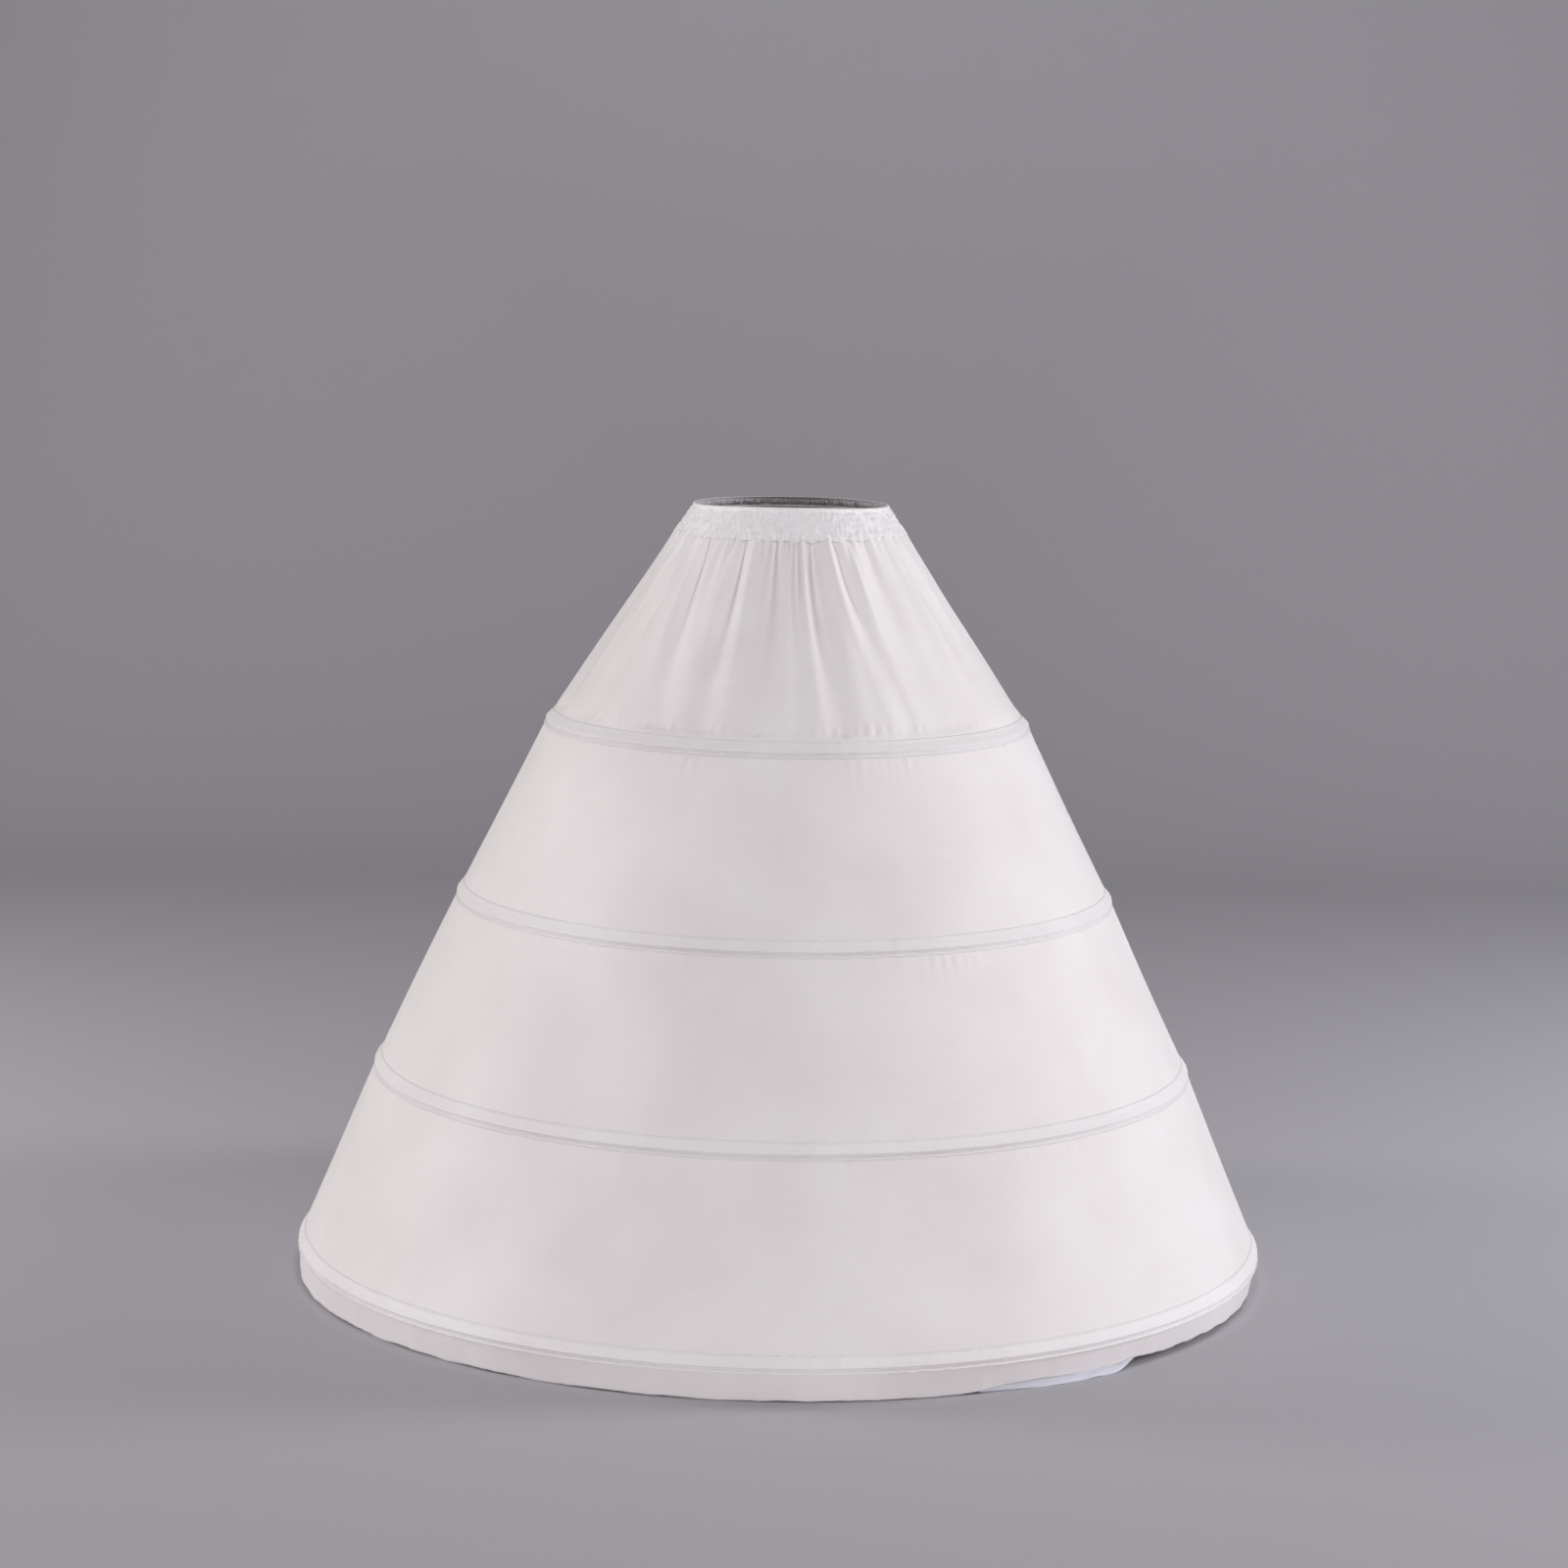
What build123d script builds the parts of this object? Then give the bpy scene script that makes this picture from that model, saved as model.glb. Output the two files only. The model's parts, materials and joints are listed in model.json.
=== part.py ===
from build123d import *
import math
import os

# Four-hoop petticoat that stands on its hem, in millimetres.
# The origin is the centre of the hem circle, +Z is up and the front is -Y.
# Cloth and tape are thicker than the real cloth, so that every wall stays one closed solid.

# Rings of the skirt's outer face, as (radius, height): the waist, then the seam under each hoop, then the hem.
WAIST_TOP = (108.0, 880.0)
WAIST_SEAM = (128.5, 850.0)
HOOP_SEAMS = [(273.7, 630.7), (372.5, 432.7), (464.5, 237.0), (550.0, 33.5)]
HEM = (542.7, 0.0)

# Cloth, laid round the skirt in flat sides with a corner on each side seam
CLOTH = 1.2
SIDES = 64
SEAM_ALLOWANCE = 10.0

# Gathers of the top tier as (share of the way up, depth): ridges lie on the cone and valleys inside it
GATHER_RINGS = [(1.0, 2.5), (0.78, 7.5), (0.0, 0.0)]

# Waistband, ruched by the elastic that is stitched inside it below its rolled edge
BAND_THICKNESS = 3.0
RIDGE_HEIGHT = 6.0
RUCHE_DEPTH = 1.2
ELASTIC_THICKNESS = 1.5
ELASTIC_SPAN = (853.0, 870.0)

# Hoop casing, measured up the cloth from its seam and out from the cloth
CASING_WIDTH = 17.0
CASING_LIP = (3.0, 5.0)
CASING_TUNNEL = (4.2, 3.7)

# Hoop: coated flat steel, closed at the centre back by a joiner
HOOP_WIDTH = 6.0
HOOP_THICKNESS = 0.8
HOOP_UP = 3.0
HOOP_OUT = 0.45
HOOP_GAP = 2.0
JOINER_LENGTH = 16.0
JOINER_PLAY = 0.12
JOINER_WALL = 0.3

# Hem band: it stands on the floor, and over one stretch at the front right its foot rides up.
# The notch in that stretch lets the facing out, and the cuts reach well past both faces of the cloth.
HEM_SCALLOP_DEPTH = 1.5
LIFT_ANGLE = -44.0
LIFT_HALF_SPAN = 22.0
LIFT_HEIGHT = 9.0
NOTCH_ANGLES = (-63.8, -52.0)
NOTCH_HEIGHT = 7.5
CUT_REACH = 20.0

# Loose end of the hem's facing, which shows below the lifted stretch
FACING_THICKNESS = 1.0
FACING_ANGLES = (-63.2, -49.5)
FACING_HEIGHT = 24.0
FACING_KINK = 9.5
FACING_FLARE = 8.0
FACING_CLEARANCE = 1.0


def slope_of(upper, lower):
    """Angle of a cone's wall from the vertical, in radians, between two rings of it."""
    return math.atan2(lower[0] - upper[0], upper[1] - lower[1])


def on_cloth(seam, slope, up, out):
    """The (radius, height) that lies up the cloth from a seam and out from its face."""
    radius = seam[0] - up * math.sin(slope) + out * math.cos(slope)
    height = seam[1] + up * math.cos(slope) + out * math.sin(slope)
    return (radius, height)


def turned(section, start=0.0, arc=360.0):
    """Solid that a closed outline of (radius, height) points sweeps about the Z axis."""
    face = make_face(Plane.XZ * Polyline(*section, close=True))
    return Rot(0, 0, start) * revolve(face, axis=Axis.Z, revolution_arc=arc)


def ring_corners(radius, height, depth, arc):
    """Corners of a level ring from the left side seam round the front, with each second one depth further in."""
    count = round(SIDES * arc / 360.0)
    corners = []
    for k in range(count if arc == 360.0 else count + 1):
        reach = radius - depth * (k % 2)
        angle = math.radians(180.0 + 360.0 * k / SIDES)
        corners.append(Vector(reach * math.cos(angle), reach * math.sin(angle), height))
    return corners


def flat_sided(section, arc=360.0):
    """Solid that a closed section of (radius, height, fold depth) points makes on its way round the skirt.

    The sides of a fold aren't flat, so each is two triangles, with the diagonal the same way on both faces of a wall.
    """
    rings = [ring_corners(radius, height, depth, arc) for radius, height, depth in section]
    folded = [depth > 0 for radius, height, depth in section]
    faces = []
    for i, ring in enumerate(rings):
        j = (i + 1) % len(rings)
        after = rings[j]
        falling = section[i][1] >= section[j][1]
        for k in range(round(SIDES * arc / 360.0)):
            m = (k + 1) % len(ring)
            if (folded[i] or folded[j]) and falling:
                faces.append(outline(ring[k], after[k], after[m]))
                faces.append(outline(ring[k], after[m], ring[m]))
            elif folded[i] or folded[j]:
                faces.append(outline(ring[k], after[k], ring[m]))
                faces.append(outline(after[k], after[m], ring[m]))
            else:
                faces.append(outline(ring[k], after[k], after[m], ring[m]))
    if arc < 360.0:
        faces.append(outline(*[ring[0] for ring in rings]))
        faces.append(outline(*[ring[-1] for ring in reversed(rings)]))
    return Solid(Shell(faces))


def outline(*corners):
    return Face(Wire.make_polygon(corners, close=True))


def cloth_wall(rings):
    """Section of one layer of cloth through (radius, height, fold depth) rings of its outer face, top first."""
    top, bottom = rings[0], rings[-1]
    inward = CLOTH / math.cos(slope_of(top, bottom))
    return rings + [(radius - inward, height, depth) for radius, height, depth in reversed(rings)]


def seam_allowances(upper, lower):
    """The two edges of a front piece, turned inwards at the side seams and pressed against the back piece."""
    wall = CLOTH / math.cos(slope_of(upper, lower))
    tail = wall + SEAM_ALLOWANCE
    edge = [
        (upper[0] - wall + CLOTH / 2, upper[1]),
        (lower[0] - wall + CLOTH / 2, lower[1]),
        (lower[0] - tail, lower[1]),
        (upper[0] - tail, upper[1]),
    ]
    face = make_face(Plane.XZ * Polyline(*edge, close=True))
    plate = extrude(face, amount=CLOTH, dir=(0, -1, 0))
    return plate + mirror(plate, about=Plane.YZ)


def panel_front(upper, lower):
    """Front half of a smooth tier, from side seam to side seam."""
    half = flat_sided(cloth_wall([(*upper, 0.0), (*lower, 0.0)]), arc=180.0)
    return half + seam_allowances(upper, lower)


def gathered_front():
    """Front half of the top tier: gathered into the waistband and smooth at the first hoop."""
    top, bottom = WAIST_SEAM, HOOP_SEAMS[0]
    rings = []
    for share, depth in GATHER_RINGS:
        radius = bottom[0] + share * (top[0] - bottom[0])
        height = bottom[1] + share * (top[1] - bottom[1])
        rings.append((radius, height, depth))
    return flat_sided(cloth_wall(rings), arc=180.0) + seam_allowances(top, bottom)


def band_lining():
    """Inner outline of the waistband from its seam up to its top: a cone, then the short round wall."""
    grip = WAIST_TOP[0] - BAND_THICKNESS
    foot = WAIST_SEAM[0] - BAND_THICKNESS
    return [(foot, WAIST_SEAM[1]), (grip, WAIST_TOP[1] - RIDGE_HEIGHT), (grip, WAIST_TOP[1])]


def waistband():
    """Ruched band with a rolled top edge. The inside of that edge is the round wall that grips the waist."""
    core = WAIST_TOP[0] / 2
    body = flat_sided([
        (*WAIST_TOP, RUCHE_DEPTH),
        (WAIST_TOP[0], WAIST_TOP[1] - RIDGE_HEIGHT, RUCHE_DEPTH),
        (WAIST_SEAM[0] + RUCHE_DEPTH, WAIST_SEAM[1], RUCHE_DEPTH),
        (core, WAIST_SEAM[1], 0.0),
        (core, WAIST_TOP[1], 0.0),
    ])
    return body - turned([(0, WAIST_SEAM[1]), *band_lining(), (0, WAIST_TOP[1])])


def waist_elastic():
    """Flat elastic stitched to the inside of the band, in short straight runs between the ruches."""
    foot, head = band_lining()[:2]
    rings = []
    for height in (max(ELASTIC_SPAN), min(ELASTIC_SPAN)):
        share = (height - foot[1]) / (head[1] - foot[1])
        rings.append((foot[0] + share * (head[0] - foot[0]), height, 0.0))
    behind = [(radius - ELASTIC_THICKNESS, height, depth) for radius, height, depth in reversed(rings)]
    return flat_sided(rings + behind)


def hoop_casing(seam, slope):
    """Tape stitched down above and below a hoop, with its lip hanging over the lower row of stitches."""
    section = [
        on_cloth(seam, slope, CASING_WIDTH, 0.0),
        on_cloth(seam, slope, *CASING_LIP),
        seam,
        on_cloth(seam, slope, *CASING_TUNNEL),
    ]
    return flat_sided([(radius, height, 0.0) for radius, height in section])


def strip_section(seam, slope, play):
    """Section of the flat steel, grown on all sides by play."""
    low, high = HOOP_UP - play, HOOP_UP + HOOP_WIDTH + play
    near, far = HOOP_OUT - play, HOOP_OUT + HOOP_THICKNESS + play
    corners = [(low, near), (low, far), (high, far), (high, near)]
    return [on_cloth(seam, slope, up, out) for up, out in corners]


def hoop(seam, slope):
    """Ring of flat steel with its two ends a hair apart at the centre back."""
    gap = math.degrees(HOOP_GAP / seam[0])
    return turned(strip_section(seam, slope, 0.0), start=90.0 + gap / 2, arc=360.0 - gap)


def hoop_joiner(seam, slope):
    """Flattened metal sleeve that holds both ends of a hoop."""

    def bar(play, length):
        face = make_face(Plane.YZ * Polyline(*strip_section(seam, slope, play), close=True))
        return extrude(face, amount=length / 2, both=True)

    return bar(JOINER_PLAY + JOINER_WALL, JOINER_LENGTH) - bar(JOINER_PLAY, 2 * JOINER_LENGTH)


def lifted_stretch():
    """Wedge under the stretch where the foot of the hem rides up, highest at the middle of it."""
    chord = HEM[0] * math.cos(math.radians(LIFT_HALF_SPAN))
    rise = LIFT_HEIGHT / (HEM[0] - chord)
    beyond = HEM[0] + CUT_REACH
    corners = [(chord, 0.0), (beyond, 0.0), (beyond, rise * (beyond - chord))]
    wedge = extrude(make_face(Plane.XZ * Polyline(*corners, close=True)), amount=chord, both=True)
    return Rot(0, 0, LIFT_ANGLE) * wedge


def hem_band():
    """Band below the last hoop, drawn in a little, with a slightly uneven foot that rests on the floor."""
    rings = [(*HOOP_SEAMS[-1], 0.0), (*HEM, HEM_SCALLOP_DEPTH)]
    near, far = HEM[0] - CUT_REACH, HEM[0] + CUT_REACH
    start, end = NOTCH_ANGLES
    notch = turned([(near, 0.0), (far, 0.0), (far, NOTCH_HEIGHT), (near, NOTCH_HEIGHT)], start, end - start)
    return flat_sided(cloth_wall(rings)) - lifted_stretch() - notch


def hem_facing_end():
    """Loose end of the facing: down the inside of the hem band, then out below its lifted foot."""
    lean = (HOOP_SEAMS[-1][0] - HEM[0]) / HOOP_SEAMS[-1][1]
    face = HEM[0] - HEM_SCALLOP_DEPTH - CLOTH - FACING_CLEARANCE
    line = [(face + FACING_FLARE, 0.0), (face, FACING_KINK), (face + lean * FACING_HEIGHT, FACING_HEIGHT)]
    behind = [(radius - FACING_THICKNESS, height) for radius, height in reversed(line)]
    start, end = FACING_ANGLES
    return turned([*line, *behind], start, end - start)


def save(shape, node):
    export_step(shape, f"parts/{node}.step")
    print(node, "volume", round(shape.volume))


def save_both_halves(front, name):
    """The back piece is cut from the same pattern as the front one."""
    save(front, f"{name}_front")
    save(Rot(0, 0, 180) * front, f"{name}_back")


os.makedirs("parts", exist_ok=True)

save(waistband(), "waistband")
save(waist_elastic(), "waist_elastic")
save_both_halves(gathered_front(), "gathered_tier")
for name, upper, lower in zip(("upper_panel", "middle_panel", "lower_panel"), HOOP_SEAMS, HOOP_SEAMS[1:]):
    save_both_halves(panel_front(upper, lower), name)
save(hem_band(), "hem_band")
save(hem_facing_end(), "hem_facing_end")
for number, (above, seam) in enumerate(zip([WAIST_SEAM, *HOOP_SEAMS], HOOP_SEAMS), start=1):
    slope = slope_of(above, seam)
    save(hoop_casing(seam, slope), f"hoop_casing_{number}")
    save(hoop(seam, slope), f"hoop_{number}")
    save(hoop_joiner(seam, slope), f"hoop_joiner_{number}")
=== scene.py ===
# %% [markdown]
# # A four-hoop petticoat
#
# The real garment is a white taffeta underskirt. A ruched elastic band holds it at the waist, one
# gathered tier falls from the band, and three smooth tiers below it are held out by four steel hoops
# that run in stitched tapes. A narrow band hangs below the last hoop.
#
# The solid model underneath gives every size, so the work here is to dress it: each soft piece gets
# a finer mesh with its folds, puckers and stitches, and each finish gets its own shader.

import json
import math

import bpy
import numpy as np
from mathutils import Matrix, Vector


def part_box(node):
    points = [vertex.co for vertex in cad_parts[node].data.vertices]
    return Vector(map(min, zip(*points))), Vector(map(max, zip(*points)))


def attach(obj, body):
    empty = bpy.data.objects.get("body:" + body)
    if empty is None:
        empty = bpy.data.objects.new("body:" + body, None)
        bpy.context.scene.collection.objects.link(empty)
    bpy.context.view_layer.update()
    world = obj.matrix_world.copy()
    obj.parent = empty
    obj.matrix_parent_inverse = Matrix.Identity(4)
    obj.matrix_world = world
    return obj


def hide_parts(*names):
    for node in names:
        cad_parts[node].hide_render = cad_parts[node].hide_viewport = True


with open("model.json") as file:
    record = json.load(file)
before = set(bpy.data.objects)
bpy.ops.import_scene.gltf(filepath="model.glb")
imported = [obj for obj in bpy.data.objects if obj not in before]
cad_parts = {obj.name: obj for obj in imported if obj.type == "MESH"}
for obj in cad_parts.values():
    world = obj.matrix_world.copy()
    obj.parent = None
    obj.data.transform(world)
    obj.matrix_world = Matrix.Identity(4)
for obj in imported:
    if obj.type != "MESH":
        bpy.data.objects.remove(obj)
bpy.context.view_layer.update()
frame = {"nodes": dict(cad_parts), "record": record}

# %% [markdown]
# ## The camera
#
# A long lens from four and a half metres keeps the hoops' ellipses as flat as they look in the
# studio. The camera stands a little above the waist, looks slightly down, and leans by one degree.
# It comes first, so that every piece can be judged from the right place as soon as it is made.

# %% Camera
CAMERA_PLACE = (-0.0026, -4.5, 1.224)
CAMERA_DOWN = math.radians(8.39)
CAMERA_ROLL = math.radians(1.02)
LENS_MM = 91.7
bpy.ops.object.camera_add(location=CAMERA_PLACE, rotation=(math.pi / 2 - CAMERA_DOWN, 0, 0))
camera = bpy.context.object
camera.name = "camera"
camera.data.lens = LENS_MM
camera.rotation_euler.rotate_axis("Z", CAMERA_ROLL)
bpy.context.scene.camera = camera

# %% [markdown]
# ## The studio
#
# The floor is one sheet that curves up behind the skirt. It is a plain grey, darker than the cloth, so
# that the white edge reads against it. One long edge is extruded step by step round the curve. The
# wall stands 4.2 m behind the skirt, so a picture from straight behind needs a deeper floor.

# %% Floor that curves up behind
FLOOR_HALF_WIDTH = 7.0
FLOOR_FRONT = -6.0
FLOOR_BACK = 2.6
SWEEP_RADIUS = 1.6
WALL_HEIGHT = 5.0
SWEEP_STEPS = 16


def studio_floor():
    """A long edge along X is extruded back along the floor, round the sweep and up the wall."""
    bpy.ops.object.select_all(action="DESELECT")
    bpy.ops.mesh.primitive_plane_add(size=1, location=(0, 0, 0))
    floor = bpy.context.object
    floor.name = "studio_floor"
    bpy.ops.object.mode_set(mode="EDIT")
    bpy.ops.transform.resize(value=(2 * FLOOR_HALF_WIDTH, FLOOR_BACK - FLOOR_FRONT, 1))
    bpy.ops.transform.translate(value=(0, (FLOOR_BACK + FLOOR_FRONT) / 2, 0))
    bpy.ops.mesh.select_all(action="DESELECT")
    bpy.ops.object.mode_set(mode="OBJECT")
    for vertex in floor.data.vertices:
        vertex.select = vertex.co.y > FLOOR_BACK - 0.01
    bpy.ops.object.mode_set(mode="EDIT")
    bpy.ops.mesh.select_mode(type="EDGE")
    turn = math.pi / 2 / SWEEP_STEPS
    for step in range(SWEEP_STEPS):
        angle = (step + 0.5) * turn
        run = 2 * SWEEP_RADIUS * math.sin(turn / 2)
        move = (0, run * math.cos(angle), run * math.sin(angle))
        bpy.ops.mesh.extrude_region_move(TRANSFORM_OT_translate={"value": move})
    bpy.ops.mesh.extrude_region_move(TRANSFORM_OT_translate={"value": (0, 0, WALL_HEIGHT)})
    bpy.ops.object.mode_set(mode="OBJECT")
    bpy.ops.object.shade_smooth()
    return floor


floor = studio_floor()
print("floor corners:", len(floor.data.vertices))

# %% [markdown]
# ## Lights
#
# White cloth only shows its form when light comes from the sides. So two tall soft boxes stand left
# and right, a little behind the skirt, the right one stronger and cooler. A low light far in front
# lifts the hem and the middle, and a weak one hangs above. The lamps are hidden from the camera, so
# no lamp shows in a picture from another side. The light that they throw on the floor does show.

# %% Lights
STUDIO_AIR = (0.93, 0.93, 0.96, 1)
AIR_STRENGTH = 0.27
SKIRT_MIDDLE = Vector((0, 0, 0.42))


def soft_box(name, place, width, height, power, colour):
    """A rectangular area light that faces the skirt."""
    bpy.ops.object.light_add(type="AREA", location=place)
    light = bpy.context.object
    light.name = name
    light.data.shape = "RECTANGLE"
    light.data.size = width
    light.data.size_y = height
    light.data.energy = power
    light.data.color = colour
    light.rotation_euler = (SKIRT_MIDDLE - Vector(place)).to_track_quat("-Z", "Y").to_euler()
    light.visible_camera = False
    return light


soft_box("right_box", (3.36, 0.35, 1.08), 1.0, 1.4, 90, (0.98, 0.985, 1.0))
soft_box("left_box", (-3.18, 0.45, 0.95), 1.0, 1.4, 62, (1.0, 0.975, 0.945))
soft_box("front_fill", (-0.1, -4.9, 0.3), 2.4, 0.5, 110, (1.0, 0.985, 0.99))
soft_box("top_light", (0.2, -1.3, 3.5), 0.8, 0.8, 26, (1.0, 0.99, 0.985))
world = bpy.data.worlds.new("studio_air")
bpy.context.scene.world = world
world.use_nodes = True
air = world.node_tree.nodes["Background"]
air.inputs["Color"].default_value = STUDIO_AIR
air.inputs["Strength"].default_value = AIR_STRENGTH
bpy.context.scene.view_settings.view_transform = "Standard"

# %% [markdown]
# ## The skirt's measures
#
# The tiers are cones. Each is set by two rings: a seam above and a seam below, given as a radius and
# a height. They are read from the solid model, so the cloth always follows it. The hem's radius and
# the band's top are the two that a bounding box can't give: the first is worked out from the drawn-in
# hem, the second from the grip of the waist mount.

# %% Rings from the solid model
MM = 0.001
BAND_WALL = 3.0 * MM
BAND_SEAM_EASE = 1.2 * MM
HEM_DRAW_IN = 7.3 * MM
HEM_FOOT = 0.0
CASING_WIDTH = 17 * MM


def ring_below(node):
    """The (radius, height) of a tier's lower seam."""
    low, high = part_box(node)
    return (high.x, low.z)


grip = next(m for m in frame["record"]["mounts"] if m["name"] == "waist_opening")["dims"]["r_mm"] * MM
band_low, band_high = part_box("waistband")
BAND_TOP = (grip + BAND_WALL, band_high.z)
WAIST_SEAM = (band_high.x - BAND_SEAM_EASE, band_low.z)
TIERS = ["gathered_tier", "upper_panel", "middle_panel", "lower_panel"]
HOOP_SEAMS = [ring_below(f"{tier}_front") for tier in TIERS]
HEM = (HOOP_SEAMS[-1][0] - HEM_DRAW_IN, HEM_FOOT)
print("rings, radius and height in mm:")
for ring in [BAND_TOP, WAIST_SEAM, *HOOP_SEAMS, HEM]:
    print("  ", round(ring[0] / MM, 1), round(ring[1] / MM, 1))

# %% [markdown]
# ## Working on a cone
#
# Cloth is sculpted in its own directions: round the skirt, down the cloth, and out from the cloth.
# These helpers turn a mesh's corners into those three numbers and back, so a fold is one line of
# arithmetic. Numpy moves all corners at once, where a loop over a hundred thousand would crawl.

# %% Cloth coordinates


def slope_of(upper, lower):
    """Angle of a cone's wall from the vertical."""
    return math.atan2(lower[0] - upper[0], upper[1] - lower[1])


def slant_of(upper, lower):
    """Length of a cone's wall."""
    return math.hypot(lower[0] - upper[0], upper[1] - lower[1])


def corners_of(piece):
    co = np.empty(len(piece.data.vertices) * 3)
    piece.data.vertices.foreach_get("co", co)
    return co.reshape(-1, 3)


def move_corners(piece, co):
    piece.data.vertices.foreach_set("co", co.ravel())
    piece.data.update()


def to_cloth(co, upper, lower):
    """(angle round, distance down the cloth, distance out from it) of each corner."""
    slope = slope_of(upper, lower)
    radius = np.hypot(co[:, 0], co[:, 1]) - upper[0]
    drop = upper[1] - co[:, 2]
    angle = np.arctan2(co[:, 1], co[:, 0])
    down = radius * math.sin(slope) + drop * math.cos(slope)
    out = radius * math.cos(slope) - drop * math.sin(slope)
    return angle, down, out


def from_cloth(angle, down, out, upper, lower):
    """The corners that lie at those places on a cone's wall."""
    slope = slope_of(upper, lower)
    radius = upper[0] + down * math.sin(slope) + out * math.cos(slope)
    height = upper[1] - down * math.cos(slope) + out * math.sin(slope)
    return np.stack([radius * np.cos(angle), radius * np.sin(angle), height], axis=1)


# %% [markdown]
# ## Chance that repeats
#
# Hand-sewn cloth is never even, and a plain sine wave looks like corrugated iron. Uneven waves come
# from adding many waves of nearly the same length. Each has a whole number of turns, so the pattern
# closes behind the skirt, and each draw is seeded, so that every run gives the same skirt.

# %% Uneven waves and soft steps
WAVE_TERMS = 14


def ripple(angle, count, seed, spread=0.45):
    """Uneven waves, about count to the turn, with a usual height of one."""
    rng = np.random.default_rng(seed)
    total = np.zeros_like(angle)
    for _ in range(WAVE_TERMS):
        turns = max(1, round(count * rng.uniform(1 - spread, 1 + spread)))
        rng.uniform()  # a spare draw, kept because the pattern of the cloth follows from the order
        total += np.cos(turns * angle + rng.uniform(0, 2 * math.pi))
    return total * math.sqrt(2 / WAVE_TERMS)


def soft_step(value, start, end):
    """0 before start and 1 after end, with a smooth rise."""
    share = np.clip((value - start) / (end - start), 0, 1)
    return share * share * (3 - 2 * share)


def bump(value, centre, width):
    """A smooth hill of height one."""
    return np.exp(-(((value - centre) / width) ** 2))


def turned_from(angle, centre):
    """Signed angle from a centre, from minus to plus half a turn."""
    return (angle - centre + math.pi) % (2 * math.pi) - math.pi


# %% [markdown]
# ## One sheet of cloth
#
# A tier could be spun from a line, or a cone could be subdivided, but at this many faces either one
# keeps Blender busy for minutes. A grid primitive is instant. Its columns are laid round the skirt
# and its rows down the cloth, crowded towards the two seams, because the small puckers are there.
# The last columns of a half tier are turned inwards: they are the allowances of its side seams.

# %% Sheet from a grid
SEAM_GAP = 0.15 * MM
ALLOWANCE = 10 * MM
TURNED_COLUMNS = 3
CENTRE_BACK = math.pi / 2


def cloth_grid(name, columns, rows):
    """A flat grid, with the share of the way round and down of each of its corners."""
    bpy.ops.object.select_all(action="DESELECT")
    bpy.ops.mesh.primitive_grid_add(x_subdivisions=columns, y_subdivisions=rows, size=1)
    piece = bpy.context.object
    piece.name = name
    co = corners_of(piece)
    return piece, co[:, 0] + 0.5, 0.5 - co[:, 1]


def crowded(share, pull):
    """Draws even rows towards both seams. A pull of 0 leaves them even."""
    return share - pull * np.sin(2 * math.pi * share) / (2 * math.pi)


def half_round(around, columns, front):
    """Angles of half a tier, and how far its last columns are turned in."""
    whole = columns + 2 * TURNED_COLUMNS
    column = np.rint(around * whole)
    share = np.clip((column - TURNED_COLUMNS) / columns, 0, 1)
    turned = np.maximum(TURNED_COLUMNS - column, column - TURNED_COLUMNS - columns)
    start = -math.pi if front else 0.0
    return start + math.pi * share, ALLOWANCE * np.maximum(turned, 0) / TURNED_COLUMNS


def all_round(around):
    """Angles of a ring that starts and ends at the centre back."""
    return CENTRE_BACK + 2 * math.pi * around


def set_half(piece, angle, down, out, upper, lower, front):
    """Places a half tier, a hair's breadth from the other half."""
    co = from_cloth(angle, down, out, upper, lower)
    co[:, 1] += -SEAM_GAP if front else SEAM_GAP
    move_corners(piece, co)


# %% [markdown]
# ## Thickness, direction and a cloth map
#
# A single layer of faces has no edge to catch light, so Solidify gives each sheet a thin wall on its
# inner side. The ends of a ring are merged and the faces turned outwards first, because Solidify
# follows them. The grid brings a UV map along, and scaled to metres it keeps the weave at one size.

# %% Finishing a sheet
CLOTH_WALL = 0.6 * MM
MERGE_GAP = 0.02 * MM


def lay_cloth_map(piece, width, length, pull=0.0):
    """Scales the grid's own UV map to metres round the skirt and down the cloth."""
    layer = piece.data.uv_layers[0]
    layer.name = "cloth"
    uv = np.empty(len(piece.data.loops) * 2)
    layer.data.foreach_get("uv", uv)
    uv = uv.reshape(-1, 2)
    uv[:, 0] *= width
    uv[:, 1] = length * crowded(uv[:, 1], pull)
    layer.data.foreach_set("uv", uv.ravel())


def face_outwards(piece):
    """Merges doubled corners and points every face away from the skirt's axis."""
    bpy.ops.object.select_all(action="DESELECT")
    piece.select_set(True)
    bpy.context.view_layer.objects.active = piece
    bpy.ops.object.mode_set(mode="EDIT")
    bpy.ops.mesh.select_all(action="SELECT")
    bpy.ops.mesh.remove_doubles(threshold=MERGE_GAP)
    bpy.ops.mesh.normals_make_consistent(inside=False)
    bpy.ops.object.mode_set(mode="OBJECT")
    faces = piece.data.polygons
    centre = np.empty(len(faces) * 3)
    normal = np.empty(len(faces) * 3)
    area = np.empty(len(faces))
    faces.foreach_get("center", centre)
    faces.foreach_get("normal", normal)
    faces.foreach_get("area", area)
    outward = (centre.reshape(-1, 3)[:, :2] * normal.reshape(-1, 3)[:, :2]).sum(axis=1)
    if (outward * area).sum() < 0:
        bpy.ops.object.mode_set(mode="EDIT")
        bpy.ops.mesh.flip_normals()
        bpy.ops.object.mode_set(mode="OBJECT")


def give_wall(piece, thickness):
    """Solidifies a sheet on its inner side, so that its outer face stays where it was shaped."""
    wall = piece.modifiers.new("wall", "SOLIDIFY")
    wall.thickness = thickness
    wall.offset = -1
    wall.use_even_offset = True
    bpy.ops.object.modifier_apply(modifier="wall")
    bpy.ops.object.shade_smooth()


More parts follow.
